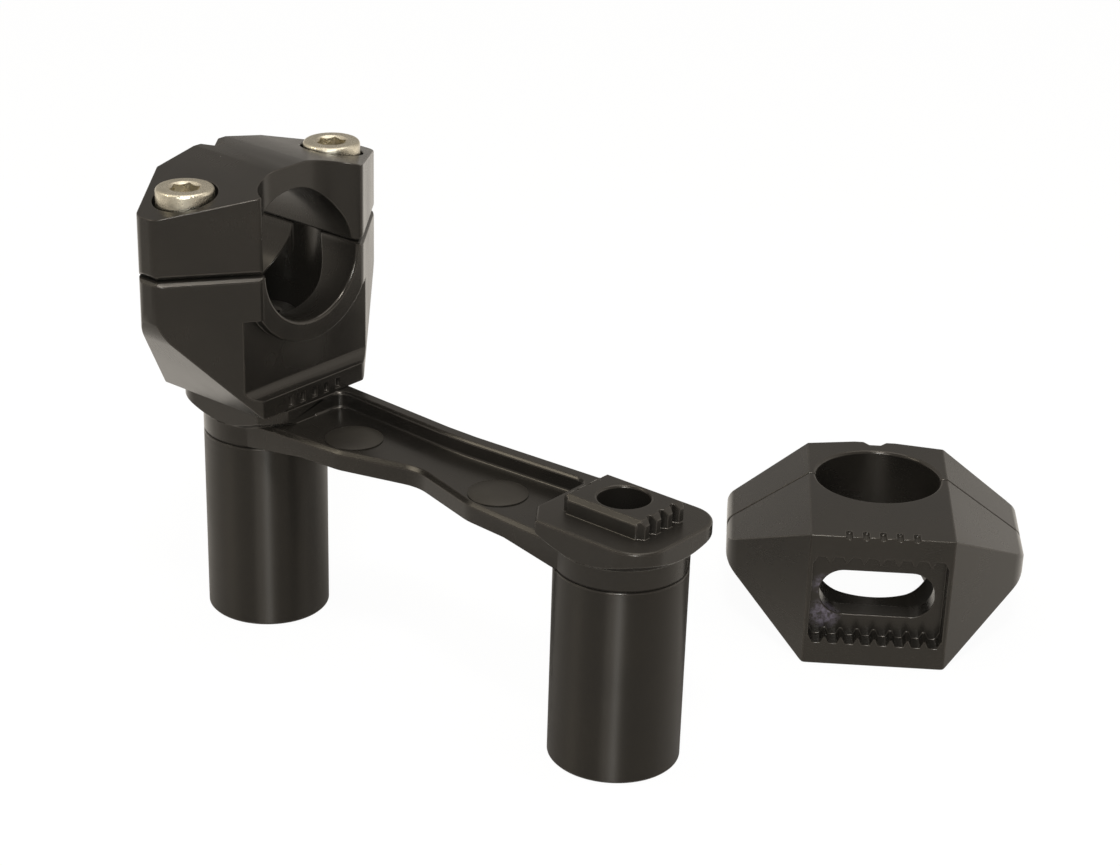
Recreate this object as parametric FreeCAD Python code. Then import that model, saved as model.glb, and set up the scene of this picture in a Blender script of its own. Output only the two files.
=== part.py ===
import FreeCAD, Part
import math
import os
from FreeCAD import Vector

os.makedirs("parts", exist_ok=True)

# Riser posts
post_spacing = 105.2
post_diameter = 28.5
post_height = 45.4
post_edge = 0.5
post_upper_bore_depth = 24.0
post_lower_bore_depth = 16.0

# Bridge: a round boss over each post, a square pad on the boss, a thin web between the pads
boss_height = 4.8
pad_top_above_boss = 5.8
pad_length = 32.2
pad_width = 28.2
pad_corner_radius = 7.4
pad_front_cut_x = 4.2
pad_front_cut_y = 5.6
pad_rear_cut = 3.0
pad_edge = 0.4
pad_bevel_spread = 1.5
web_under_step = 2.0
web_thickness = 4.6
web_front_waist = 5.2
web_front_bend = 10.6
web_front_bend_x = 19.0
web_front_end = 12.5
web_waist_radius = 12.0
web_rear_waist = 9.2
web_rear_end = 11.7
web_bend_half_length = 4.0
web_edge = 0.9
web_overlap = 9.5
web_level_half_length = 30.0
rail_width = 3.0
rail_edge = 0.6
pocket_corner_radius = 3.0
pocket_foot_radius = 0.8

# Toothed block on each pad and the pocket that drops over it
tooth_pitch = 3.75
tooth_depth = 1.6
tooth_tip_width = 1.5
tooth_root_width = 0.75
block_teeth = 4
pocket_teeth = 8
block_length = 21.3
block_height = 4.2
block_edge = 1.1
tooth_side_play = 0.15
tooth_end_play = 0.2
pocket_head_room = 0.4

# Handlebar clamp, measured from the middle of its flat base
bar_diameter = 28.6
clamp_length = 32.4
clamp_end_width = 32.0
clamp_full_width = 68.6
clamp_flat_inboard = 2.4
clamp_flat_outboard = 3.3
clamp_corner_radius = 3.5
clamp_end_corner_radius = 2.5
clamp_slope_angle = 50.0
clamp_shoulder_radius = 11.0
clamp_split_height = 33.7
clamp_split_gap = 0.4
clamp_split_edge = 1.0
cap_wall_over_bar = 6.5
clamp_roof_slope = 0.2
clamp_roof_radius = 50.0
bore_edge = 0.5

# Recess under the bore on the inboard end of the clamp base
recess_depth = 2.5
flange_height = 4.5
recess_top = 23.3
ring_width = 4.7

# Scoop in the inboard side of the clamp cap
scoop_depth = 6.5
scoop_radius = 10.0
scoop_half_travel = 6.0

# Marks that count the fore and aft positions, and the notch over the bar's middle line
mark_radius = 0.7
mark_height = 3.0
inboard_mark_foot = 0.8
notch_half_width = 3.5
notch_flat_half_width = 1.3
notch_depth = 2.7
notch_length = 5.5

# Cap screws, M8
cap_screw_spacing = 45.3
cap_thread = 8.0
cap_head_diameter = 13.0
cap_head_height = 8.0
cap_head_below_roof = 2.5
cap_head_play = 0.7
cap_screw_length = 25.0
cap_socket_across_flats = 6.0
cap_socket_depth = 4.0
cap_hole_play = 0.3
cap_thread_end_room = 1.5

# Mount bolt, M10 with a low head, through the slot of the clamp into the post
mount_thread = 10.0
mount_head_diameter = 16.0
mount_head_height = 7.0
mount_bolt_length = 40.0
mount_socket_across_flats = 7.0
mount_socket_depth = 3.5
mount_hole_play = 0.5
mount_head_play = 0.2
slot_floor_height = 10.1
block_hole_edge = 0.4

# Radial room between a thread's crest and the wall of its tapped hole
thread_play = 0.1

# Dust plugs in the two holes of the web
plug_offset = 21.2
plug_forward = 3.1
plug_diameter = 13.2
plug_rim = 0.5
plug_crown = 0.4
plug_crown_radius = 5.0
plug_hole_diameter = 10.0
plug_stem_play = 0.15

# The second clamp stands on its inboard end beside the bridge
loose_clamp_x = 52.2
loose_clamp_y = 97.2
loose_clamp_turn = 126.0

# Sizes that follow from the ones above
post_radius = post_diameter / 2
half_spacing = post_spacing / 2
boss_top = post_height + boss_height
pad_top = boss_top + pad_top_above_boss
web_bottom = post_height + web_under_step
web_top = web_bottom + web_thickness
pad_inner_end = half_spacing - pad_length / 2
block_half_width = block_teeth * tooth_pitch / 2
block_top = pad_top + block_height
bar_radius = bar_diameter / 2
clamp_half_length = clamp_length / 2
clamp_half_end = clamp_end_width / 2
clamp_half_width = clamp_full_width / 2
clamp_roof_height = clamp_split_height + bar_radius + cap_wall_over_bar
cap_head_top = clamp_roof_height - cap_head_below_roof
base_top = clamp_split_height - clamp_split_gap / 2
cap_bottom = clamp_split_height + clamp_split_gap / 2
slot_half_travel = (pocket_teeth - block_teeth) * tooth_pitch / 2
slot_radius = mount_thread / 2 + mount_hole_play
seat_radius = mount_head_diameter / 2 + mount_head_play
cap_seat = cap_head_top - cap_head_height
pocket_depth = block_height + pocket_head_room
above_all = clamp_roof_height + 10


def prism(points, low, high):
    """Upright solid over an outline of straight sides."""
    corners = [Vector(x, y, low) for x, y in points]
    outline = Part.makePolygon(corners + corners[:1])
    return Part.Face(outline).extrude(Vector(0, 0, high - low))


def upright(radius, low, high, x=0.0, y=0.0):
    """Cylinder along Z."""
    return Part.makeCylinder(radius, high - low, Vector(x, y, low))


def along_bar(radius, start, end):
    """Cylinder on the axis of the handlebar."""
    foot = Vector(start, 0, clamp_split_height)
    return Part.makeCylinder(radius, end - start, foot, Vector(1, 0, 0))


def box(x_range, y_range, z_range):
    """Block given by its limits along the three axes."""
    size = [high - low for low, high in (x_range, y_range, z_range)]
    corner = Vector(x_range[0], y_range[0], z_range[0])
    return Part.makeBox(size[0], size[1], size[2], corner)


def stadium(radius, half_travel, low, high):
    """Upright slot cutter with round ends, long way along Y."""
    middle = box((-radius, radius), (-half_travel, half_travel), (low, high))
    ends = [upright(radius, low, high, 0.0, side * half_travel) for side in (-1, 1)]
    return middle.multiFuse(ends).removeSplitter()


def hexagon(across_flats, low, high):
    """Six-sided key socket."""
    reach = across_flats / math.sqrt(3)
    angles = [math.radians(60 * step) for step in range(6)]
    return prism([(reach * math.cos(a), reach * math.sin(a)) for a in angles], low, high)


def both_ends(shape):
    """The shape and its mirror image across the plane between the posts."""
    return [shape, shape.mirror(Vector(0, 0, 0), Vector(1, 0, 0))]


def riser_post():
    """Turned post with a tapped hole in each end."""
    post = upright(post_radius, 0.0, post_height)
    rims = [edge for edge in post.Edges if edge.Curve.TypeId == "Part::GeomCircle"]
    post = post.makeChamfer(post_edge, rims)
    bore = mount_thread / 2 + thread_play
    upper = upright(bore, post_height - post_upper_bore_depth, post_height)
    lower = upright(bore, 0.0, post_lower_bore_depth)
    return post.cut(upper).cut(lower)


def toothed_outline(half_length, count, tip_width, root_width):
    """Plan of a plate with a row of teeth on each X end; half_length reaches the tips."""
    half_width = count * tooth_pitch / 2
    root = half_length - tooth_depth
    side = [(root, -half_width)]
    for index in range(count):
        middle = (index - (count - 1) / 2) * tooth_pitch
        gap = (tooth_pitch - root_width) / 2
        side.append((root, middle - gap))
        side.append((half_length, middle - tip_width / 2))
        side.append((half_length, middle + tip_width / 2))
        side.append((root, middle + gap))
    side.append((root, half_width))
    return side + [(-x, -y) for x, y in side]


def toothed_block():
    """Block that carries the clamp, on the middle of a pad."""
    half_length = block_length / 2
    plan = toothed_outline(half_length, block_teeth, tooth_tip_width, tooth_root_width)
    teeth = prism(plan, pad_top, block_top)
    blank = box((-half_length, half_length), (-block_half_width, block_half_width), (pad_top, block_top))
    rims = [edge for edge in blank.Edges if edge.BoundBox.ZMin > block_top - 0.01]
    return blank.makeChamfer(block_edge, rims).common(teeth)


def pad():
    """Boss, bevelled pad and toothed block around the axis of the right post."""
    half_length = pad_length / 2
    half_width = pad_width / 2
    plan = [(pad_rear_cut - half_length, half_width), (-half_length, half_width - pad_rear_cut),
            (-half_length, pad_front_cut_y - half_width), (pad_front_cut_x - half_length, -half_width),
            (half_length, -half_width), (half_length, half_width)]
    plate = prism(plan, boss_top, pad_top)
    outer = [edge for edge in plate.Edges
             if edge.BoundBox.ZLength > pad_top_above_boss / 2 and edge.BoundBox.XMin > half_length - 0.01]
    plate = plate.makeFillet(pad_corner_radius, outer)
    rims = [edge for edge in plate.Edges if edge.BoundBox.ZMin > pad_top - 0.01]
    plate = plate.makeChamfer(pad_edge, rims)
    spread = pad_bevel_spread * pad_top_above_boss
    bevel = Part.makeCone(post_radius, post_radius + spread, pad_top_above_boss, Vector(0, 0, boss_top))
    boss = upright(post_radius, post_height, boss_top)
    return boss.multiFuse([plate.common(bevel), toothed_block()])


def front_line():
    """Front outline of the web as corners from left to right."""
    reach = pad_inner_end + web_overlap
    return [(-reach, -web_front_end), (-web_front_bend_x, -web_front_bend), (0, -web_front_waist),
            (web_front_bend_x, -web_front_bend), (reach, -web_front_end)]


def rear_line(inset):
    """Rear outline of the web as corners from right to left, or a line inside it."""
    reach = pad_inner_end + web_overlap
    bend = web_bend_half_length
    slope = (web_rear_end - web_rear_waist) / reach
    at_bend = web_rear_waist + slope * bend - inset
    return [(reach, web_rear_end - inset), (bend, at_bend), (-bend, at_bend), (-reach, web_rear_end - inset)]


def web():
    """Thin web with an open front, a rail along its rear edge and an arched underside."""
    floor = prism(front_line() + rear_line(0.0), post_height, web_top)
    bends = [edge for edge in floor.Edges
             if edge.BoundBox.ZLength > 1.0 and edge.BoundBox.YMax < -web_front_waist + 0.01
             and abs(edge.BoundBox.XMin) < pad_inner_end]
    floor = floor.makeFillet(web_waist_radius, bends)
    crest = [edge for edge in floor.Edges
             if edge.BoundBox.ZMin > web_top - 0.01 and edge.BoundBox.YMax < 0]
    floor = floor.makeChamfer(web_edge, crest)
    reach = pad_inner_end + web_overlap
    rail = prism([(-reach, 0.0), (reach, 0.0)] + rear_line(0.0), web_top, pad_top).cut(web_pocket())
    inner = [edge for edge in rail.Edges
             if edge.BoundBox.ZMin > pad_top - 0.01 and edge.BoundBox.YMin > 0.01
             and edge.BoundBox.YMax < web_rear_end - rail_width + 0.01
             and edge.BoundBox.XLength > 0.01]
    rail = rail.makeChamfer(rail_edge, inner)
    return floor.cut(web_arch()).fuse(rail)


def web_arch():
    """Space under the web, level between the slopes that run down to the bosses."""
    foot = pad_inner_end + web_overlap
    points = [(-foot, post_height), (-web_level_half_length, web_bottom), (web_level_half_length, web_bottom),
              (foot, post_height), (foot, post_height - 1.0), (-foot, post_height - 1.0)]
    corners = [Vector(x, -pad_width, z) for x, z in points]
    face = Part.Face(Part.makePolygon(corners + corners[:1]))
    return face.extrude(Vector(0, 2 * pad_width, 0))


def web_pocket():
    """Space between the pads, in front of the rail."""
    wall = rear_line(rail_width)
    slope = (wall[0][1] - wall[1][1]) / (wall[0][0] - wall[1][0])
    at_end = wall[1][1] + slope * (pad_inner_end - wall[1][0])
    plan = [(-pad_inner_end, -pad_width), (pad_inner_end, -pad_width), (pad_inner_end, at_end),
            wall[1], wall[2], (-pad_inner_end, at_end)]
    space = prism(plan, web_top, pad_top + 1.0)
    corners = [edge for edge in space.Edges
               if edge.BoundBox.ZLength > 1.0 and edge.BoundBox.YMin > at_end - 0.01]
    space = space.makeFillet(pocket_corner_radius, corners)
    feet = [edge for edge in space.Edges
            if edge.BoundBox.ZMax < web_top + 0.01 and edge.BoundBox.YMax > -pad_width + 1.0]
    return space.makeFillet(pocket_foot_radius, feet)


def bridge():
    """One-piece bridge from post to post."""
    move = Vector(half_spacing, 0, 0)
    right_pad = pad()
    right_pad.translate(move)
    body = web().multiFuse(both_ends(right_pad)).removeSplitter()
    hole = upright(mount_thread / 2 + mount_hole_play, post_height - 1.0, block_top + 1.0)
    rim_radius = mount_thread / 2 + mount_hole_play
    rim = Part.makeCone(rim_radius, rim_radius + block_hole_edge, block_hole_edge,
                        Vector(0, 0, block_top - block_hole_edge))
    cutter = hole.fuse(rim)
    cutter.translate(move)
    body = body.cut(both_ends(cutter))
    plug_hole = upright(plug_hole_diameter / 2, web_bottom - 1.0, web_top + 1.0, plug_offset, -plug_forward)
    return body.cut(both_ends(plug_hole))


def web_plug():
    """Low crowned plug with a plain stem, set in the web."""
    rim_radius = plug_diameter / 2
    stem = upright(plug_hole_diameter / 2 - plug_stem_play, web_bottom, web_top)
    rim = upright(rim_radius, web_top, web_top + plug_rim)
    crown = Part.makeCone(rim_radius, plug_crown_radius, plug_crown, Vector(0, 0, web_top + plug_rim))
    return stem.multiFuse([rim, crown]).removeSplitter()


def clamp_plan(low, high):
    """Plan of the clamp: narrow ends, slanting facets and short flats at the screws."""
    quarter = [(clamp_half_length, -clamp_half_end), (clamp_half_length, clamp_half_end),
               (clamp_flat_inboard, clamp_half_width), (-clamp_flat_outboard, clamp_half_width)]
    far = [(-clamp_half_length, clamp_half_end), (-clamp_half_length, -clamp_half_end),
           (-clamp_flat_outboard, -clamp_half_width), (clamp_flat_inboard, -clamp_half_width)]
    block = prism(quarter + far, low, high)
    upright_edges = [edge for edge in block.Edges if edge.BoundBox.ZLength > 1.0]
    wide = [edge for edge in upright_edges if abs(edge.BoundBox.YMin) > clamp_half_end + 0.1]
    block = block.makeFillet(clamp_corner_radius, wide)
    ends = [edge for edge in block.Edges
            if edge.BoundBox.ZLength > 1.0 and edge.BoundBox.XMin > clamp_half_length - 0.01]
    return block.makeFillet(clamp_end_corner_radius, ends)


def relieved(shape, height, way):
    """The shape with its parting edges broken on the inboard facets and the outer flats."""
    corners = [Vector(clamp_half_length, clamp_half_end, height),
               Vector(clamp_flat_inboard, clamp_half_width, height),
               Vector(-clamp_flat_outboard, clamp_half_width, height)]
    rise = Vector(0, 0, way * clamp_split_edge)
    for start, end in zip(corners, corners[1:]):
        along = end - start
        along.normalize()
        out = along.cross(Vector(0, 0, 1)) * clamp_split_edge
        past = along * clamp_corner_radius
        section = [start - past + out - rise * 2, start - past - out * 2 + rise, start - past + out + rise]
        face = Part.Face(Part.makePolygon(section + section[:1]))
        cutter = face.extrude(end - start + past * 2)
        shape = shape.cut([cutter, cutter.mirror(Vector(0, 0, 0), Vector(0, 1, 0))])
    return shape


def base_profile():
    """Front view of the clamp base: flat foot, slopes and rounded shoulders."""
    angle = math.radians(clamp_slope_angle)
    corner_height = (clamp_half_width - clamp_half_end) * math.tan(angle)
    turn = math.pi / 2 - angle
    reach = clamp_shoulder_radius * math.tan(turn / 2)
    sides = []
    for side in (-1, 1):
        start = Vector(0, side * clamp_half_end, 0)
        slope_end = Vector(0, side * (clamp_half_width - reach * math.cos(angle)),
                           corner_height - reach * math.sin(angle))
        centre_y = clamp_half_width - clamp_shoulder_radius
        middle = Vector(0, side * (centre_y + clamp_shoulder_radius * math.cos(turn / 2)),
                        corner_height + reach - clamp_shoulder_radius * math.sin(turn / 2))
        top_start = Vector(0, side * clamp_half_width, corner_height + reach)
        top_end = Vector(0, side * clamp_half_width, base_top + 1.0)
        sides.append([Part.LineSegment(start, slope_end).toShape(),
                      Part.Arc(slope_end, middle, top_start).toShape(),
                      Part.LineSegment(top_start, top_end).toShape()])
    foot = Part.LineSegment(Vector(0, -clamp_half_end, 0), Vector(0, clamp_half_end, 0)).toShape()
    head = Part.LineSegment(Vector(0, -clamp_half_width, base_top + 1.0),
                            Vector(0, clamp_half_width, base_top + 1.0)).toShape()
    wire = Part.Wire(Part.__sortEdges__([foot, head] + sides[0] + sides[1]))
    shape = Part.Face(wire).extrude(Vector(clamp_length, 0, 0))
    shape.translate(Vector(-clamp_half_length, 0, 0))
    return shape


def inboard_recess():
    """Channel across the inboard end, with a coved floor, that leaves a ring round the bore."""
    back = clamp_half_length - recess_depth
    front = clamp_half_length + 1.0
    start = -clamp_half_width
    cove = recess_depth * (1 - math.cos(math.pi / 4))
    points = [Vector(front, start, recess_top), Vector(back, start, recess_top),
              Vector(back, start, flange_height + recess_depth),
              Vector(clamp_half_length, start, flange_height), Vector(front, start, flange_height)]
    middle = Vector(back + cove, start, flange_height + cove)
    edges = [Part.LineSegment(points[0], points[1]).toShape(),
             Part.LineSegment(points[1], points[2]).toShape(),
             Part.Arc(points[2], middle, points[3]).toShape(),
             Part.LineSegment(points[3], points[4]).toShape(),
             Part.LineSegment(points[4], points[0]).toShape()]
    channel = Part.Face(Part.Wire(edges)).extrude(Vector(0, clamp_full_width, 0))
    return channel.cut(along_bar(bar_radius + ring_width, back - 1.0, front + 1.0))


def bore_rim(end, side):
    """Cutter for the broken edge of the bore at one end."""
    foot = Vector(end, 0, clamp_split_height)
    return Part.makeCone(bar_radius + bore_edge, bar_radius, bore_edge, foot, Vector(-side, 0, 0))


def index_marks():
    """Half-round marks on both ends of the base, one for each position on the block."""
    reach = int(round(slot_half_travel / tooth_pitch))
    marks = []
    for step in range(-reach, reach + 1):
        place = step * tooth_pitch
        marks.append(upright(mark_radius, -1.0, mark_height, -clamp_half_length, place))
        marks.append(upright(mark_radius, inboard_mark_foot, mark_height, clamp_half_length, place))
    return marks


def clamp_base():
    """Lower half of the clamp, with the toothed pocket, the slot and the screw threads."""
    body = clamp_plan(0.0, base_top).common(base_profile())
    body = relieved(body, base_top, 1)
    body = body.cut(inboard_recess())
    body = body.cut(along_bar(bar_radius, -clamp_length, clamp_length))
    body = body.cut([bore_rim(side * clamp_half_length, side) for side in (-1, 1)])
    plan = toothed_outline(block_length / 2 + tooth_end_play, pocket_teeth,
                           tooth_tip_width + 2 * tooth_side_play, tooth_root_width - 2 * tooth_side_play)
    body = body.cut(prism(plan, -1.0, pocket_depth))
    body = body.cut(stadium(slot_radius, slot_half_travel, 0.0, clamp_split_height))
    body = body.cut(stadium(seat_radius, slot_half_travel, slot_floor_height, above_all))
    depth = cap_screw_length - (cap_seat - base_top) + cap_thread_end_room
    tapped = [upright(cap_thread / 2 + thread_play, base_top - depth, above_all, 0.0,
                      side * cap_screw_spacing / 2) for side in (-1, 1)]
    return body.cut(tapped).cut(index_marks())


def cap_profile():
    """Front view of the cap under its two roof slopes."""
    pitch = math.atan(clamp_roof_slope)
    reach = clamp_roof_radius * math.tan(pitch / 2)
    drop = clamp_roof_radius * (1 / math.cos(pitch) - 1)
    eave = clamp_roof_height - clamp_roof_slope * clamp_half_width
    break_y = reach * math.cos(pitch)
    break_z = clamp_roof_height - reach * math.sin(pitch)
    points = [Vector(0, -break_y, break_z), Vector(0, -clamp_half_width, eave),
              Vector(0, -clamp_half_width, cap_bottom), Vector(0, clamp_half_width, cap_bottom),
              Vector(0, clamp_half_width, eave), Vector(0, break_y, break_z)]
    edges = [Part.LineSegment(a, b).toShape() for a, b in zip(points, points[1:])]
    ridge = Vector(0, 0, clamp_roof_height - drop)
    edges.append(Part.Arc(points[-1], ridge, points[0]).toShape())
    shape = Part.Face(Part.Wire(edges)).extrude(Vector(clamp_length, 0, 0))
    shape.translate(Vector(-clamp_half_length, 0, 0))
    return shape


def scoop():
    """Cutter for the hollow in the inboard side of the cap."""
    centre = clamp_half_length - scoop_depth + scoop_radius
    shape = stadium(scoop_radius, scoop_half_travel, 0.0, above_all)
    shape.translate(Vector(centre, 0, 0))
    return shape


def centre_notch():
    """Notch in the outboard edge of the roof that runs out along the ridge."""
    start = -clamp_half_length
    rise = notch_depth / notch_length
    low = clamp_roof_height - notch_depth
    widen = (notch_half_width - notch_flat_half_width) / notch_depth
    top_half_width = notch_flat_half_width + widen * notch_depth * 2
    points = [(-notch_flat_half_width, low), (notch_flat_half_width, low),
              (top_half_width, low + 2 * notch_depth), (-top_half_width, low + 2 * notch_depth)]
    before = 1.0
    corners = [Vector(start - before, y, z - before * rise) for y, z in points]
    face = Part.Face(Part.makePolygon(corners + corners[:1]))
    run = notch_length + 2 * before
    return face.extrude(Vector(run, 0, run * rise))


def clamp_cap():
    """Upper half of the clamp."""
    body = clamp_plan(cap_bottom, above_all).common(cap_profile())
    body = relieved(body, cap_bottom, -1)
    body = body.cut(scoop())
    body = body.cut(along_bar(bar_radius, -clamp_length, clamp_length))
    body = body.cut(bore_rim(-clamp_half_length, -1)).cut(centre_notch())
    for side in (-1, 1):
        middle = side * cap_screw_spacing / 2
        head_room = upright(cap_head_diameter / 2 + cap_head_play, cap_seat, above_all, 0.0, middle)
        hole = upright(cap_thread / 2 + cap_hole_play, 0.0, above_all, 0.0, middle)
        body = body.cut(head_room).cut(hole)
    return body


def cap_screw(side):
    """Socket head screw through the cap, on the front or rear side of the bar."""
    head = upright(cap_head_diameter / 2, cap_seat, cap_head_top)
    shank = upright(cap_thread / 2, cap_seat - cap_screw_length, cap_seat)
    socket = hexagon(cap_socket_across_flats, cap_head_top - cap_socket_depth, cap_head_top + 1.0)
    screw = head.fuse(shank).removeSplitter().cut(socket)
    screw.translate(Vector(0, side * cap_screw_spacing / 2, 0))
    return screw


def mount_bolt():
    """Low-head bolt that holds the clamp and the bridge down on the post."""
    top = slot_floor_height + mount_head_height
    head = upright(mount_head_diameter / 2, slot_floor_height, top)
    shank = upright(mount_thread / 2, slot_floor_height - mount_bolt_length, slot_floor_height)
    socket = hexagon(mount_socket_across_flats, top - mount_socket_depth, top + 1.0)
    return head.fuse(shank).removeSplitter().cut(socket)


def on_left_pad(shape):
    """Clamp piece moved to its seat on the left pad, inboard end towards the bridge's middle."""
    shape.translate(Vector(-half_spacing, 0, pad_top))
    return shape


def standing_loose(shape):
    """Clamp piece laid on its inboard end beside the bridge, with the cap turned away."""
    shape.translate(Vector(-clamp_half_length, 0, -clamp_split_height))
    shape.rotate(Vector(0, 0, 0), Vector(0, 1, 0), 90.0)
    shape.rotate(Vector(0, 0, 0), Vector(0, 0, 1), loose_clamp_turn)
    shape.translate(Vector(loose_clamp_x, loose_clamp_y, 0))
    return shape


def clamp_set(name, place):
    """The two halves of a clamp and its cap screws, each in place."""
    return {name + "_clamp_base": place(clamp_base()),
            name + "_clamp_cap": place(clamp_cap()),
            name + "_cap_screw_front": place(cap_screw(-1)),
            name + "_cap_screw_rear": place(cap_screw(1))}


def all_pieces():
    """Every separate piece, by name."""
    pieces = {"bridge": bridge()}
    for name, side in (("left", -1), ("right", 1)):
        post = riser_post()
        post.translate(Vector(side * half_spacing, 0, 0))
        pieces[name + "_riser_post"] = post
        plug = web_plug()
        plug.translate(Vector(side * plug_offset, -plug_forward, 0))
        pieces[name + "_web_plug"] = plug
    pieces.update(clamp_set("left", on_left_pad))
    pieces["left_mount_bolt"] = on_left_pad(mount_bolt())
    pieces.update(clamp_set("loose", standing_loose))
    return pieces


for name, shape in all_pieces().items():
    shape.exportStep("parts/" + name + ".step")
    print(name, len(shape.Solids), "solid", shape.isValid(), round(shape.Volume, 1))
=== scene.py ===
import math
import bmesh
import bpy
from mathutils import Matrix, Vector


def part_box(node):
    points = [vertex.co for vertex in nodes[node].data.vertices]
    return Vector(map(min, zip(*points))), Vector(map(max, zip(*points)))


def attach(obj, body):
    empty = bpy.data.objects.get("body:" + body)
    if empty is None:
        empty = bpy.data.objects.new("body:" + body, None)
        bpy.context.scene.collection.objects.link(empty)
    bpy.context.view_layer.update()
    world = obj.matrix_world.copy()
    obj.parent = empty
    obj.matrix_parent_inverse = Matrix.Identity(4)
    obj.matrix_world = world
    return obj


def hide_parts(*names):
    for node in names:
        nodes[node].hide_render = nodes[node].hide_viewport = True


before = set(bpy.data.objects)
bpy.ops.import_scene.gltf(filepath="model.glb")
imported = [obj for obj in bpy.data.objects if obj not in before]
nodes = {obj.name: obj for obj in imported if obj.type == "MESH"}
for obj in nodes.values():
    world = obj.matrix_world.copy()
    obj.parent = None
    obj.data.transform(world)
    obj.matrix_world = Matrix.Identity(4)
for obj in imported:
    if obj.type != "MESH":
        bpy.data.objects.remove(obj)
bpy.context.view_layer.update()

MM = 0.001
scene = bpy.context.scene
scene.view_settings.view_transform = "Standard"


# Places read from the solids, in millimetres

def corners_of(node):
    """Lowest and highest corners of a solid, in millimetres."""
    low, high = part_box(node)
    return low / MM, high / MM


def middle_of(node):
    """Middle of a solid's box, in millimetres."""
    low, high = corners_of(node)
    return (low + high) / 2


SCREW_HEAD_HEIGHT = 8.0
BOLT_HEAD_HEIGHT = 7.0
PLUG_HEAD_HEIGHT = 0.9

HALF_SPACING = middle_of("right_riser_post").x
POST_TOP = corners_of("right_riser_post")[1].z
PAD_TOP = corners_of("left_clamp_base")[0].z
PARTING_HEIGHT = (corners_of("left_clamp_base")[1].z + corners_of("left_clamp_cap")[0].z) / 2
CLAMP_SPLIT = PARTING_HEIGHT - PAD_TOP
CLAMP_HALF_LENGTH = middle_of("left_clamp_base").x - corners_of("left_clamp_base")[0].x
SCREW_SPACING = middle_of("left_cap_screw_rear").y - middle_of("left_cap_screw_front").y
SCREW_SEAT = corners_of("left_cap_screw_front")[1].z - SCREW_HEAD_HEIGHT - PAD_TOP
BOLT_SEAT = corners_of("left_mount_bolt")[1].z - BOLT_HEAD_HEIGHT - PAD_TOP
WEB_TOP = corners_of("left_web_plug")[1].z - PLUG_HEAD_HEIGHT

# The loose clamp stands on its inboard end beside the bridge
LOOSE_X = 52.2
LOOSE_Y = 97.2
LOOSE_TURN = 126.0


def shift(x, y, z):
    """Move by millimetres."""
    return Matrix.Translation(Vector((x, y, z)) * MM)


AT_ORIGIN = Matrix.Identity(4)
LEFT_SEAT = shift(-HALF_SPACING, 0.0, PAD_TOP)
LOOSE_PLACE = (shift(LOOSE_X, LOOSE_Y, 0.0) @ Matrix.Rotation(math.radians(LOOSE_TURN), 4, "Z")
               @ Matrix.Rotation(math.radians(90.0), 4, "Y") @ shift(-CLAMP_HALF_LENGTH, 0.0, -CLAMP_SPLIT))


# Camera

def studio_camera():
    """Camera at the photograph's place, with its lens and framing."""
    data = bpy.data.cameras.new("studio_camera")
    data.sensor_fit = "HORIZONTAL"
    data.sensor_width = 36.0
    data.lens = 85.77
    data.shift_x = 0.1361
    data.shift_y = 0.1379
    data.clip_start = 0.01
    data.clip_end = 20.0
    camera = bpy.data.objects.new("studio_camera", data)
    scene.collection.objects.link(camera)
    turn = math.radians(42.65)
    rise = math.radians(26.94)
    roll = math.radians(0.245)
    back = Vector((math.sin(turn) * math.cos(rise), -math.cos(turn) * math.cos(rise), math.sin(rise)))
    side = Vector((0, 0, 1)).cross(back).normalized()
    up = back.cross(side)
    across = side * math.cos(roll) + up * math.sin(roll)
    along = up * math.cos(roll) - side * math.sin(roll)
    axes = Matrix((across, along, back)).transposed().to_4x4()
    camera.matrix_world = shift(356.41, -395.28, 291.50) @ axes
    scene.camera = camera


# Steps that the materials share

def new_material(name):
    """Empty node material, and its tree to fill."""
    material = bpy.data.materials.new(name)
    material.use_nodes = True
    material.node_tree.nodes.clear()
    return material, material.node_tree


def object_place(tree):
    """Place on the object, in metres."""
    return tree.nodes.new("ShaderNodeTexCoord").outputs["Object"]


def surface(tree, shader):
    """The material's output, fed by its last shader."""
    output = tree.nodes.new("ShaderNodeOutputMaterial")
    tree.links.new(shader, output.inputs["Surface"])


def stretch(tree, source, low, high, to_low=0.0, to_high=1.0):
    """Map Range from one span of values to another."""
    node = tree.nodes.new("ShaderNodeMapRange")
    tree.links.new(source, node.inputs["Value"])
    for key, value in (("From Min", low), ("From Max", high), ("To Min", to_low), ("To Max", to_high)):
        node.inputs[key].default_value = value
    return node.outputs["Result"]


def noise(tree, place, scale, detail=2.0, rough=0.5):
    """Noise value at a scale in cells per metre."""
    node = tree.nodes.new("ShaderNodeTexNoise")
    node.inputs["Scale"].default_value = scale
    node.inputs["Detail"].default_value = detail
    node.inputs["Roughness"].default_value = rough
    tree.links.new(place, node.inputs["Vector"])
    return node.outputs["Fac"]


def squeezed(tree, place, scales):
    """Place with its axes scaled apart, in cells per metre."""
    node = tree.nodes.new("ShaderNodeMapping")
    node.inputs["Scale"].default_value = scales
    tree.links.new(place, node.inputs["Vector"])
    return node.outputs["Vector"]


def blend_colours(tree, amount, first, second):
    """Mix of two colours, each a value or a socket."""
    node = tree.nodes.new("ShaderNodeMix")
    node.data_type = "RGBA"
    tree.links.new(amount, node.inputs["Factor"])
    for key, colour in (("A", first), ("B", second)):
        socket = [s for s in node.inputs if s.name == key and s.type == "RGBA"][0]
        if isinstance(colour, tuple):
            socket.default_value = colour
        else:
            tree.links.new(colour, socket)
    return [s for s in node.outputs if s.type == "RGBA"][0]


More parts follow.
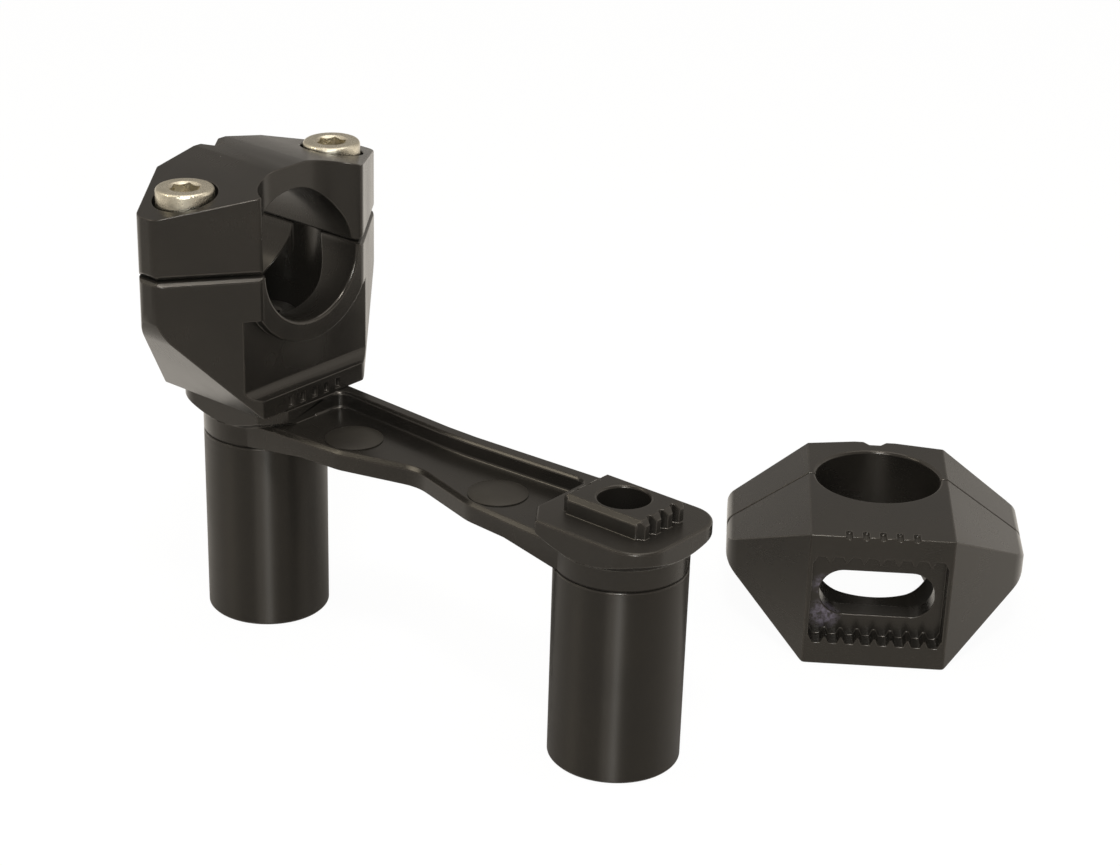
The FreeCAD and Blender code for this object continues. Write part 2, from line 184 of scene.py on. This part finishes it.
def arithmetic(tree, operation, *values):
    """Result of one sum, each value a number or a socket."""
    node = tree.nodes.new("ShaderNodeMath")
    node.operation = operation
    for value, socket in zip(values, node.inputs):
        if isinstance(value, float):
            socket.default_value = value
        else:
            tree.links.new(value, socket)
    return node.outputs[0]


def times(tree, first, second):
    """Product of two values."""
    return arithmetic(tree, "MULTIPLY", first, second)


def plus(tree, first, second):
    """Sum of two values."""
    return arithmetic(tree, "ADD", first, second)


def along_axis(tree, place, axis):
    """One of the three parts of a place."""
    apart = tree.nodes.new("ShaderNodeSeparateXYZ")
    tree.links.new(place, apart.inputs["Vector"])
    return apart.outputs[axis]


def near_point(tree, place, point, reach):
    """Value of 1 near a point that fades to 0 at a reach from it, both in millimetres."""
    distance = tree.nodes.new("ShaderNodeVectorMath")
    distance.operation = "DISTANCE"
    tree.links.new(place, distance.inputs[0])
    distance.inputs[1].default_value = Vector(point) * MM
    return stretch(tree, distance.outputs["Value"], reach * 0.35 * MM, reach * MM, 1.0, 0.0)


def bumps(tree, layers):
    """Bump nodes in a chain, each from a height socket with its depth in millimetres."""
    normal = None
    for height, depth in layers:
        node = tree.nodes.new("ShaderNodeBump")
        node.inputs["Strength"].default_value = 1.0
        node.inputs["Distance"].default_value = depth * MM
        tree.links.new(height, node.inputs["Height"])
        if normal is not None:
            tree.links.new(normal, node.inputs["Normal"])
        normal = node.outputs["Normal"]
    return normal


# Black anodised aluminium

BLACK = (0.0056, 0.0051, 0.0044, 1.0)
BROWN_BLACK = (0.0085, 0.0074, 0.006, 1.0)
SATIN_BLACK = (0.017, 0.0155, 0.012, 1.0)
WARM_SHEEN = (1.0, 0.93, 0.84, 1.0)
# Colour of the faint painted glow on the anodised finishes, which stands in for light in the hollows
PAINTED_GLOW = (1.0, 0.93, 0.8, 1.0)
DUST = (0.42, 0.4, 0.37, 1.0)
EDGE_GREY = (0.05, 0.044, 0.038, 1.0)
WORN_VIOLET = (0.3, 0.26, 0.36, 1.0)
GRAIN_DEPTH = 0.0003

# Heights and half widths of the seams over the posts and between the seated clamp's halves
SEAMS = ((POST_TOP, 0.3), (PARTING_HEIGHT, 0.5))
FULL_SHEEN = 0.5
SEAM_SHEEN = 0.06


def dusted(tree, place, tint):
    """The colour with a few specks of dust on it."""
    specks = tree.nodes.new("ShaderNodeTexVoronoi")
    specks.inputs["Scale"].default_value = 300.0
    tree.links.new(place, specks.inputs["Vector"])
    spots = stretch(tree, specks.outputs["Distance"], 0.045, 0.07, 1.0, 0.0)
    chosen = stretch(tree, noise(tree, place, 210.0, detail=1.0), 0.7, 0.72)
    return blend_colours(tree, times(tree, spots, chosen), tint, DUST)


def worn_patch(tree, place, point, reach):
    """Value that breaks up into flakes round a worn point."""
    flakes = stretch(tree, noise(tree, place, 900.0, detail=4.0, rough=0.7), 0.42, 0.6, 0.1, 1.0)
    return times(tree, near_point(tree, place, point, reach), flakes)


def dim_in_seams(tree, place):
    """Sheen level, nearly none inside the seams, where no light gets in."""
    height = along_axis(tree, place, "Z")
    inside = [arithmetic(tree, "COMPARE", height, seam * MM, half_width * MM) for seam, half_width in SEAMS]
    return stretch(tree, plus(tree, *inside), 0.0, 1.0, FULL_SHEEN, SEAM_SHEEN)


def draw_sheen_round(tree, shader, strength):
    """Sheen drawn out as by the fine rings that a cutter leaves round Z."""
    around = tree.nodes.new("ShaderNodeTangent")
    around.direction_type = "RADIAL"
    around.axis = "Z"
    tree.links.new(around.outputs["Tangent"], shader.inputs["Tangent"])
    shader.inputs["Anisotropic"].default_value = strength
    shader.inputs["Anisotropic Rotation"].default_value = 0.25


def anodised(name, gloss, mark_depth, mark_scales, dark=BLACK, edge_light=0.0, worn=(), nicks=(), blasted=(),
             ring_marks=0.0):
    """Black anodised aluminium: deep colour, soft sheen, a faint painted glow that lifts the blacks, fine
    cutter marks and places of wear.

    worn, nicks and blasted are flaked patches, small pits and dull areas, each a point and a reach.
    """
    material, tree = new_material(name)
    place = object_place(tree)
    shader = tree.nodes.new("ShaderNodeBsdfPrincipled")
    shader.inputs["IOR"].default_value = 1.44
    shader.inputs["Specular Tint"].default_value = WARM_SHEEN
    # Faint painted glow: the surface gives off a little light of its own, which lifts the blacks in hollows
    # that no lamp reaches
    shader.inputs["Emission Color"].default_value = PAINTED_GLOW
    shader.inputs["Emission Strength"].default_value = 0.002
    clouds = noise(tree, place, 55.0, detail=3.0)
    tint = blend_colours(tree, stretch(tree, clouds, 0.35, 0.65), dark, BROWN_BLACK)
    tint = dusted(tree, place, tint)
    lines = noise(tree, squeezed(tree, place, mark_scales), 1.0, rough=0.6)
    smears = stretch(tree, clouds, 0.3, 0.7, gloss - 0.03, gloss + 0.04)
    rough = plus(tree, smears, stretch(tree, lines, 0.3, 0.7, -0.008, 0.012))
    if edge_light:
        bare = stretch(tree, noise(tree, place, 300.0, detail=3.0), 0.3, 0.7, edge_light * 0.4, edge_light)
        tint = blend_colours(tree, bare, tint, EDGE_GREY)
    for point, reach in worn:
        patch = worn_patch(tree, place, point, reach)
        tint = blend_colours(tree, times(tree, patch, 0.32), tint, WORN_VIOLET)
        rough = plus(tree, rough, times(tree, patch, 0.25))
    for point, reach in blasted:
        rough = plus(tree, rough, times(tree, near_point(tree, place, point, reach), 0.25))
    for point, reach in nicks:
        pit = near_point(tree, place, point, reach)
        rough = plus(tree, rough, times(tree, pit, 0.5))
        tint = blend_colours(tree, pit, tint, BROWN_BLACK)
    tree.links.new(tint, shader.inputs["Base Color"])
    tree.links.new(rough, shader.inputs["Roughness"])
    tree.links.new(dim_in_seams(tree, place), shader.inputs["Specular IOR Level"])
    if ring_marks:
        draw_sheen_round(tree, shader, ring_marks)
    grain = noise(tree, place, 5200.0, detail=1.0)
    tree.links.new(bumps(tree, [(lines, mark_depth), (grain, GRAIN_DEPTH)]), shader.inputs["Normal"])
    surface(tree, shader.outputs["BSDF"])
    return material


# Screw steel

SCREW_STEEL = (0.66, 0.61, 0.49, 1.0)
BOLT_STEEL = (0.07, 0.066, 0.06, 1.0)
STAIN_SHADE = 0.72
PIT_DEPTH = 0.07


def stainless(name, gloss, colour):
    """Steel of a screw: a little rough, with fine pits and faint stains."""
    material, tree = new_material(name)
    place = object_place(tree)
    shader = tree.nodes.new("ShaderNodeBsdfPrincipled")
    shader.inputs["Metallic"].default_value = 1.0
    stains = noise(tree, place, 420.0, detail=4.0, rough=0.6)
    stained = tuple(part * STAIN_SHADE for part in colour[:3]) + (1.0,)
    tint = blend_colours(tree, stretch(tree, stains, 0.38, 0.66), colour, stained)
    tree.links.new(tint, shader.inputs["Base Color"])
    pits = noise(tree, place, 2400.0, detail=3.0, rough=0.7)
    smears = stretch(tree, stains, 0.3, 0.7, gloss - 0.05, gloss + 0.12)
    rough = plus(tree, smears, stretch(tree, pits, 0.35, 0.65, -0.08, 0.1))
    tree.links.new(rough, shader.inputs["Roughness"])
    tree.links.new(bumps(tree, [(pits, PIT_DEPTH)]), shader.inputs["Normal"])
    surface(tree, shader.outputs["BSDF"])
    return material


# Milled and turned pieces, from the solids

BRIDGE_EDGE = 0.2
POST_EDGE = 0.15
CLAMP_EDGE = 0.25
ONE_FACE_WITHIN = math.radians(0.6)
EDGE_FROM = math.radians(28.0)


def new_piece(name, mesh):
    """Object at the origin that shows a mesh."""
    piece = bpy.data.objects.new(name, mesh)
    scene.collection.objects.link(piece)
    return piece


def stands_for(piece, slot, *names):
    """The piece rides on the one body and replaces its nodes, which it hides. The slot is not used."""
    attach(piece, "root")
    if names:
        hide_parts(*names)


def joined_faces(mesh, is_floor):
    """Loose triangles joined to whole faces. Those that the test picks get the third finish."""
    work = bmesh.new()
    work.from_mesh(mesh)
    bmesh.ops.remove_doubles(work, verts=work.verts, dist=1e-6)
    bmesh.ops.dissolve_limit(work, angle_limit=ONE_FACE_WITHIN, verts=work.verts, edges=work.edges)
    for face in work.faces:
        face.smooth = True
        face.material_index = 2 if is_floor(face) else 0
    work.to_mesh(mesh)
    work.free()


def drawn_inside(mesh, solid, place):
    """Corners that a broken edge pushed out, drawn back to the solid's box in the piece's own axes."""
    back = place.inverted()
    corners = [back @ vertex.co for vertex in solid.vertices]
    low = [min(corner[axis] for corner in corners) for axis in range(3)]
    high = [max(corner[axis] for corner in corners) for axis in range(3)]
    for vertex in mesh.vertices:
        spot = back @ vertex.co
        vertex.co = place @ Vector([min(max(spot[axis], low[axis]), high[axis]) for axis in range(3)])


def no_face(face):
    """Test that picks no face."""
    return False


def web_floor(face):
    """Test that picks the level face at the web's top."""
    height = face.calc_center_median().z / MM
    return face.normal.z > 0.99 and abs(height - WEB_TOP) < 0.15


def machined(node, name, slot, finishes, edge_width, place=AT_ORIGIN, is_floor=no_face):
    """Detailed copy of a machined node with its edges broken.

    The finishes are those of the body, the broken edges and the faces that is_floor picks.
    """
    solid = nodes[node].data
    mesh = solid.copy()
    joined_faces(mesh, is_floor)
    mesh.materials.clear()
    for finish in finishes:
        mesh.materials.append(finish)
    piece = new_piece(name, mesh)
    broken = piece.modifiers.new("broken_edges", "BEVEL")
    broken.limit_method = "ANGLE"
    broken.angle_limit = EDGE_FROM
    broken.width = edge_width * MM
    broken.segments = 2
    broken.use_clamp_overlap = False
    broken.material = 1
    level = piece.modifiers.new("level_shading", "WEIGHTED_NORMAL")
    level.mode = "FACE_AREA"
    level.weight = 90
    depsgraph = bpy.context.evaluated_depsgraph_get()
    result = bpy.data.meshes.new_from_object(piece.evaluated_get(depsgraph))
    piece.modifiers.clear()
    drawn_inside(result, solid, place)
    piece.data = result
    bpy.data.meshes.remove(mesh)
    result.name = name
    stands_for(piece, slot, node)


# Turned forms, as rings from the first to the last, in millimetres

def turned_form(name, rings, sides=96):
    """Closed mesh swept round Z. A ring gives radius and height from an angle."""
    mesh = bpy.data.meshes.new(name)
    work = bmesh.new()
    loops = []
    for ring in rings:
        loop = []
        for step in range(sides):
            angle = math.tau * step / sides
            radius, height = ring(angle)
            spot = Vector((radius * math.cos(angle), radius * math.sin(angle), height))
            loop.append(work.verts.new(spot * MM))
        loops.append(loop)
    for lower, upper in zip(loops, loops[1:]):
        for step in range(sides):
            after = (step + 1) % sides
            work.faces.new((lower[step], lower[after], upper[after], upper[step]))
    work.faces.new(loops[0][::-1])
    work.faces.new(loops[-1])
    for face in work.faces:
        face.smooth = True
    work.to_mesh(mesh)
    work.free()
    return mesh


def even(radius, height):
    """Ring of one radius and height all round."""
    return lambda angle: (radius, height)


def rounded_rings(radius, height, roundness, steps):
    """Rings of a quarter round between a side at a radius and a top at a height."""
    rings = []
    for step in range(steps + 1):
        turn = math.radians(90.0 * step / steps)
        rings.append(even(radius - roundness + roundness * math.cos(turn),
                          height - roundness + roundness * math.sin(turn)))
    return rings


def socket_rings(top, across_flats, depth):
    """Rings of a hexagon socket with a countersunk mouth and a drilled bottom."""
    mouth = across_flats * 0.62
    mouth_slope = 0.7
    drill_point = 0.9
    drill_tip = 0.4
    bottom_play = 0.15

    def flat_radius(angle):
        return across_flats / 2 / math.cos((angle % math.radians(60)) - math.radians(30))

    def lip(angle):
        radius = flat_radius(angle)
        return radius, top - mouth_slope * (mouth - radius)

    def foot(angle):
        return flat_radius(angle), top - depth

    return [even(mouth, top), lip, foot, even(across_flats / 2 - bottom_play, top - depth),
            even(drill_tip, top - depth - drill_point)]


def socket_screw(name, head_radius, head_height, shank_radius, length, across_flats, depth):
    """Socket head screw whose bearing face is at height 0, with a rounded rim and a bevelled end."""
    end_flat = 0.7
    end_bevel = 0.9
    neck = 0.2
    foot_bevel = 0.25
    rim_roundness = 0.85
    end_radius = shank_radius - end_bevel
    rings = [even(end_radius - end_flat, -length), even(end_radius, -length),
             even(shank_radius, end_bevel - length), even(shank_radius, -2 * neck),
             even(shank_radius + neck, 0.0), even(head_radius - foot_bevel, 0.0),
             even(head_radius, foot_bevel)]
    rings += rounded_rings(head_radius, head_height, rim_roundness, steps=6)
    rings += socket_rings(head_height, across_flats, depth)
    mesh = turned_form(name, rings)
    mesh.set_sharp_from_angle(angle=math.radians(32))
    return mesh


# What repeats, made by geometry trees

def tree_with_inputs(name, inputs):
    """Geometry tree with named inputs, each a name and a kind of socket."""
    tree = bpy.data.node_groups.new(name, "GeometryNodeTree")
    tree.interface.new_socket("Geometry", in_out="OUTPUT", socket_type="NodeSocketGeometry")
    for label, kind in inputs:
        tree.interface.new_socket(label, in_out="INPUT", socket_type="NodeSocket" + kind)
    start = tree.nodes.new("NodeGroupInput")
    end = tree.nodes.new("NodeGroupOutput")
    return tree, start, end


def close_tree(tree, start, end, geometry):
    """Realised copies with the finish on them, at the tree's end."""
    real = tree.nodes.new("GeometryNodeRealizeInstances")
    tree.links.new(geometry, real.inputs["Geometry"])
    finish = tree.nodes.new("GeometryNodeSetMaterial")
    tree.links.new(real.outputs["Geometry"], finish.inputs["Geometry"])
    tree.links.new(start.outputs["Finish"], finish.inputs["Material"])
    tree.links.new(finish.outputs["Geometry"], end.inputs["Geometry"])


def from_tree(name, tree, values, place):
    """Plain mesh object made by a geometry tree with its inputs set, moved to its place."""
    host_mesh = bpy.data.meshes.new(name + "_host")
    host = new_piece(name, host_mesh)
    made = host.modifiers.new("made", "NODES")
    made.node_group = tree
    for item in tree.interface.items_tree:
        if item.in_out == "INPUT":
            made[item.identifier] = values[item.name]
    depsgraph = bpy.context.evaluated_depsgraph_get()
    result = bpy.data.meshes.new_from_object(host.evaluated_get(depsgraph))
    host.modifiers.clear()
    result.transform(place)
    host.data = result
    bpy.data.meshes.remove(host_mesh)
    result.name = name
    return host


def row_tree():
    """Tree that sets a form down in a row along Y, with the row's middle at a height."""
    tree, start, end = tree_with_inputs("row_of_screws", [
        ("Form", "Object"), ("Count", "Int"), ("Spacing", "Float"), ("Height", "Float"),
        ("Finish", "Material")])
    gap = tree.nodes.new("ShaderNodeCombineXYZ")
    tree.links.new(start.outputs["Spacing"], gap.inputs["Y"])
    first = tree.nodes.new("ShaderNodeCombineXYZ")
    tree.links.new(times(tree, start.outputs["Spacing"], -0.5), first.inputs["Y"])
    tree.links.new(start.outputs["Height"], first.inputs["Z"])
    row = tree.nodes.new("GeometryNodeMeshLine")
    tree.links.new(start.outputs["Count"], row.inputs["Count"])
    tree.links.new(first.outputs["Vector"], row.inputs["Start Location"])
    tree.links.new(gap.outputs["Vector"], row.inputs["Offset"])
    form = tree.nodes.new("GeometryNodeObjectInfo")
    tree.links.new(start.outputs["Form"], form.inputs["Object"])
    copies = tree.nodes.new("GeometryNodeInstanceOnPoints")
    tree.links.new(row.outputs["Mesh"], copies.inputs["Points"])
    tree.links.new(form.outputs["Geometry"], copies.inputs["Instance"])
    close_tree(tree, start, end, copies.outputs["Instances"])
    return tree


def thread_tree():
    """Tree that winds a ridge of three-cornered section along a helix."""
    tree, start, end = tree_with_inputs("thread_turns", [
        ("Radius", "Float"), ("Length", "Float"), ("Turns", "Float"), ("Ridge", "Float"),
        ("Finish", "Material")])
    helix = tree.nodes.new("GeometryNodeCurveSpiral")
    helix.inputs["Resolution"].default_value = 40
    for key, label in (("Rotations", "Turns"), ("Start Radius", "Radius"), ("End Radius", "Radius"),
                       ("Height", "Length")):
        tree.links.new(start.outputs[label], helix.inputs[key])
    level = tree.nodes.new("GeometryNodeSetCurveNormal")
    level.mode = "Z_UP"
    tree.links.new(helix.outputs["Curve"], level.inputs["Curve"])
    section = tree.nodes.new("GeometryNodeCurvePrimitiveCircle")
    section.inputs["Resolution"].default_value = 3
    tree.links.new(start.outputs["Ridge"], section.inputs["Radius"])
    swept = tree.nodes.new("GeometryNodeCurveToMesh")
    tree.links.new(level.outputs["Curve"], swept.inputs["Curve"])
    tree.links.new(section.outputs["Curve"], swept.inputs["Profile Curve"])
    swept.inputs["Fill Caps"].default_value = True
    close_tree(tree, start, end, swept.outputs["Mesh"])
    return tree


# Screws, bolt, plugs and threads

THREAD_PITCH = 1.5
THREAD_RADIUS = 4.88
THREAD_RIDGE = 0.56

# Height of a thread's foot, and its length
FOOT_THREAD = (0.9, 13.5)
UPPER_THREAD = (POST_TOP - 22.4, 21.0)

PLUG_OFFSET = 21.2
PLUG_FORWARD = 3.1
PLUG_RADIUS = 6.55
PLUG_RIM = 0.22
PLUG_STEM_RADIUS = 4.85
PLUG_STEM_LENGTH = 4.5


def cap_screws(finish):
    """The two socket screws of each clamp, made from one form."""
    screw = socket_screw("screw_form", head_radius=6.5, head_height=SCREW_HEAD_HEIGHT, shank_radius=4.0,
                         length=25.0, across_flats=6.0, depth=3.4)
    form = new_piece("screw_form", screw)
    tree = row_tree()
    values = {"Form": form, "Count": 2, "Spacing": SCREW_SPACING * MM, "Height": SCREW_SEAT * MM,
              "Finish": finish}
    for which, place in (("left", LEFT_SEAT), ("loose", LOOSE_PLACE)):
        piece = from_tree(which + "_cap_screws", tree, values, place)
        stands_for(piece, "screw_steel", which + "_cap_screw_front", which + "_cap_screw_rear")
    bpy.data.objects.remove(form)


def mount_bolt(finish):
    """Low-head bolt in the left clamp's slot."""
    mesh = socket_screw("low_head_bolt", head_radius=8.0, head_height=BOLT_HEAD_HEIGHT, shank_radius=5.0,
                        length=40.0, across_flats=7.0, depth=3.5)
    mesh.transform(LEFT_SEAT @ shift(0.0, 0.0, BOLT_SEAT))
    mesh.materials.append(finish)
    stands_for(new_piece("low_head_bolt", mesh), "screw_steel", "left_mount_bolt")


def domed_plug(side, across, finish):
    """Plug with a low dome over a thin rim and a plain stem through the web."""
    stem_bevel = 0.4
    tip = 0.2
    steps = 12
    stem_foot = WEB_TOP - PLUG_STEM_LENGTH
    rings = [even(PLUG_STEM_RADIUS - 0.85, stem_foot), even(PLUG_STEM_RADIUS, stem_foot + stem_bevel),
             even(PLUG_STEM_RADIUS, WEB_TOP), even(PLUG_RADIUS - 0.1, WEB_TOP),
             even(PLUG_RADIUS, WEB_TOP + 0.04)]
    for step in range(steps + 1):
        inward = step / steps
        swell = 1.0 - (1.0 - inward) ** 3
        rings.append(even(PLUG_RADIUS - (PLUG_RADIUS - tip) * inward,
                          WEB_TOP + PLUG_RIM + (PLUG_HEAD_HEIGHT - PLUG_RIM) * swell))
    mesh = turned_form(side + "_domed_plug", rings)
    mesh.set_sharp_from_angle(angle=math.radians(50))
    mesh.transform(shift(across, -PLUG_FORWARD, 0.0))
    mesh.materials.append(finish)
    stands_for(new_piece(side + "_domed_plug", mesh), "anodised_plug", side + "_web_plug")


def post_threads(finish):
    """Thread turns in the open tapped holes of the posts."""
    tree = thread_tree()
    for name, across, (foot, length) in (("left_foot_thread", -HALF_SPACING, FOOT_THREAD),
                                         ("right_foot_thread", HALF_SPACING, FOOT_THREAD),
                                         ("right_upper_thread", HALF_SPACING, UPPER_THREAD)):
        values = {"Radius": THREAD_RADIUS * MM, "Length": length * MM, "Turns": length / THREAD_PITCH,
                  "Ridge": THREAD_RIDGE * MM, "Finish": finish}
        piece = from_tree(name, tree, values, shift(across, 0.0, foot))
        stands_for(piece, "anodised_post")


# Floor, room and lamps

PAPER = (0.93, 0.93, 0.925, 1.0)
WHITE = (1.0, 1.0, 1.0, 1.0)
# Painted light and shade in the floor's glow that the pieces mirror: shaded in front, lit at the back, with
# painted shade under the bridge
PAINTED_SHADE_FLOOR_FRONT = (0.58, 0.54, 0.49, 1.0)
PAINTED_LIGHT_FLOOR_BACK = (1.08, 1.01, 0.91, 1.0)
PAINTED_SHADE_UNDER_BRIDGE = (0.36, 0.335, 0.3, 1.0)
WARM_ROOM = (1.0, 0.935, 0.85, 1.0)
WARM_LAMP = (1.0, 0.98, 0.94)
YELLOW_LAMP = (1.0, 0.94, 0.78)
COLD_FLASH = (0.84, 0.92, 1.0)


def mirrored_floor(tree, place):
    """Colour that the black pieces mirror, painted with light and shade: a painted gradient paler to the
    back, and painted shade under the bridge.
    """
    back = arithmetic(tree, "MULTIPLY_ADD", along_axis(tree, place, "X"), -0.7, along_axis(tree, place, "Y"))
    colour = blend_colours(tree, stretch(tree, back, -0.05, 0.09), PAINTED_SHADE_FLOOR_FRONT, PAINTED_LIGHT_FLOOR_BACK)
    return blend_colours(tree, near_point(tree, place, (-20.0, 35.0, 0.0), 75.0), colour, PAINTED_SHADE_UNDER_BRIDGE)


def white_floor():
    """Large flat pale floor that keeps the shadow."""
    half_side = 6.0
    mesh = bpy.data.meshes.new("white_floor")
    work = bmesh.new()
    signs = ((-1, -1), (1, -1), (1, 1), (-1, 1))
    work.faces.new([work.verts.new((x * half_side, y * half_side, 0.0)) for x, y in signs])
    work.to_mesh(mesh)
    work.free()
    material, tree = new_material("white_floor")
    paper = tree.nodes.new("ShaderNodeBsdfDiffuse")
    paper.inputs["Color"].default_value = PAPER
    ray = tree.nodes.new("ShaderNodeLightPath")
    camera_ray = ray.outputs["Is Camera Ray"]
    glow = tree.nodes.new("ShaderNodeEmission")
    # Reflections see the floor's glow with its painted light and shade; camera rays see plain white
    colour = blend_colours(tree, camera_ray, mirrored_floor(tree, object_place(tree)), WHITE)
    tree.links.new(colour, glow.inputs["Color"])
    share = plus(tree, times(tree, camera_ray, 0.95), times(tree, ray.outputs["Is Glossy Ray"], 0.84))
    mix = tree.nodes.new("ShaderNodeMixShader")
    tree.links.new(share, mix.inputs["Fac"])
    tree.links.new(paper.outputs["BSDF"], mix.inputs[1])
    tree.links.new(glow.outputs["Emission"], mix.inputs[2])
    surface(tree, mix.outputs["Shader"])
    mesh.materials.append(material)
    new_piece("white_floor", mesh)


def toward(tree, place, direction):
    """Cosine between a direction of the room and a fixed one."""
    facing = tree.nodes.new("ShaderNodeVectorMath")
    facing.operation = "DOT_PRODUCT"
    facing.inputs[1].default_value = Vector(direction).normalized()
    tree.links.new(place, facing.inputs[0])
    return facing.outputs["Value"]


def pale_room():
    """Pale room, dimmer on the side that the camera stands on and low behind the object."""
    world = bpy.data.worlds.new("pale_room")
    world.use_nodes = True
    tree = world.node_tree
    tree.nodes.clear()
    place = tree.nodes.new("ShaderNodeTexCoord").outputs["Generated"]
    near_side = stretch(tree, toward(tree, place, (0.6, -0.65, 0.47)), 0.1, 0.9, 0.82, 0.3)
    far_side = stretch(tree, toward(tree, place, (-0.6, 0.7, 0.33)), 0.6, 0.95, 1.0, 0.5)
    room = tree.nodes.new("ShaderNodeBackground")
    room.inputs["Color"].default_value = WARM_ROOM
    tree.links.new(times(tree, near_side, far_side), room.inputs["Strength"])
    seen = tree.nodes.new("ShaderNodeBackground")
    seen.inputs["Color"].default_value = WHITE
    seen.inputs["Strength"].default_value = 1.0
    ray = tree.nodes.new("ShaderNodeLightPath")
    mix = tree.nodes.new("ShaderNodeMixShader")
    tree.links.new(ray.outputs["Is Camera Ray"], mix.inputs["Fac"])
    tree.links.new(room.outputs["Background"], mix.inputs[1])
    tree.links.new(seen.outputs["Background"], mix.inputs[2])
    output = tree.nodes.new("ShaderNodeOutputWorld")
    tree.links.new(mix.outputs["Shader"], output.inputs["Surface"])
    scene.world = world


def softbox(name, place, width, height, power, colour=WARM_LAMP):
    """Rectangular soft light, in metres, that faces the middle of the object."""
    middle = Vector((0.0, 0.03, 0.05))
    data = bpy.data.lights.new(name, "AREA")
    data.shape = "RECTANGLE"
    data.size = width
    data.size_y = height
    data.energy = power
    data.color = colour
    light = bpy.data.objects.new(name, data)
    light.location = place
    light.rotation_euler = (middle - Vector(place)).to_track_quat("-Z", "Y").to_euler()
    scene.collection.objects.link(light)


def studio_lamps():
    """Soft lamps above and behind, a window beside the camera and its small flash."""
    softbox("rear_right_softbox", (0.75, 0.75, 0.5), width=0.8, height=0.8, power=0.8)
    softbox("overhead_lamp", (0.36, -0.36, 1.05), width=0.2, height=0.2, power=5.0)
    softbox("flash_by_camera", (0.39, -0.432, 0.33), width=0.08, height=0.06, power=0.9, colour=COLD_FLASH)
    softbox("window_by_camera", (0.54, -0.81, 0.48), width=0.46, height=0.4, power=3.6)
    softbox("top_softbox", (0.0, 0.2, 1.1), width=0.8, height=0.8, power=3.0)
    softbox("high_left_softbox", (-0.64, -0.62, 0.95), width=0.36, height=0.36, power=2.4, colour=YELLOW_LAMP)


# Finishes of this bar riser. Cutter marks are close across one axis and long along the others.

CLOSE_MARKS = 1400.0
LONG_MARKS = 90.0
BORE_FLOOR = ((-HALF_SPACING, 0.0, PAD_TOP + 13.0), 16.0)
POCKET_WEAR = (((60.0, 66.8, 10.6), 4.2), ((59.7, 66.2, 18.0), 3.0))
PAD_NICKS = (((39.2, -11.6, PAD_TOP), 0.5), ((40.6, -14.3, PAD_TOP - 2.6), 0.45))
BLOCK_FRONT = ((54.0, -22.0, PAD_TOP + 6.0), 30.0)

seated_clamp_finish = anodised("milled_anodised", gloss=0.25, mark_depth=0.0002,
                               mark_scales=(CLOSE_MARKS, LONG_MARKS, LONG_MARKS), blasted=(BORE_FLOOR,))
loose_clamp_finish = anodised("handled_anodised", gloss=0.26, mark_depth=0.0002,
                              mark_scales=(LONG_MARKS, LONG_MARKS, CLOSE_MARKS), worn=POCKET_WEAR,
                              ring_marks=0.6)
edge_finish = anodised("broken_edge_anodised", gloss=0.19, mark_depth=0.001, mark_scales=(60.0, 60.0, 60.0),
                       edge_light=0.3)
bridge_finish = anodised("bridge_anodised", gloss=0.24, mark_depth=0.0015,
                         mark_scales=(LONG_MARKS, CLOSE_MARKS, LONG_MARKS), nicks=PAD_NICKS,
                         blasted=(BLOCK_FRONT,))
web_finish = anodised("polished_floor_anodised", gloss=0.13, mark_depth=0.0008,
                      mark_scales=(60.0, 900.0, 60.0))
post_finish = anodised("turned_anodised", gloss=0.4, mark_depth=0.0005, mark_scales=(30.0, 30.0, 2600.0),
                       ring_marks=1.0)
plug_finish = anodised("satin_plug", gloss=0.45, mark_depth=0.001, mark_scales=(300.0, 300.0, 300.0),
                       dark=SATIN_BLACK)
screw_steel = stainless("cap_screw_steel", gloss=0.27, colour=SCREW_STEEL)
bolt_steel = stainless("mount_bolt_steel", gloss=0.5, colour=BOLT_STEEL)

# The whole bar riser

studio_camera()
machined("bridge", "machined_bridge", "anodised_bridge", (bridge_finish, edge_finish, web_finish),
         BRIDGE_EDGE, is_floor=web_floor)
for side, across in (("left", -PLUG_OFFSET), ("right", PLUG_OFFSET)):
    machined(side + "_riser_post", side + "_turned_post", "anodised_post", (post_finish, edge_finish),
             POST_EDGE)
    domed_plug(side, across, plug_finish)
for which, finish, place in (("left", seated_clamp_finish, LEFT_SEAT),
                             ("loose", loose_clamp_finish, LOOSE_PLACE)):
    for half in ("base", "cap"):
        machined(which + "_clamp_" + half, which + "_milled_" + half, "anodised_clamp",
                 (finish, edge_finish), CLAMP_EDGE, place)
cap_screws(screw_steel)
mount_bolt(bolt_steel)
post_threads(post_finish)

white_floor()
pale_room()
studio_lamps()
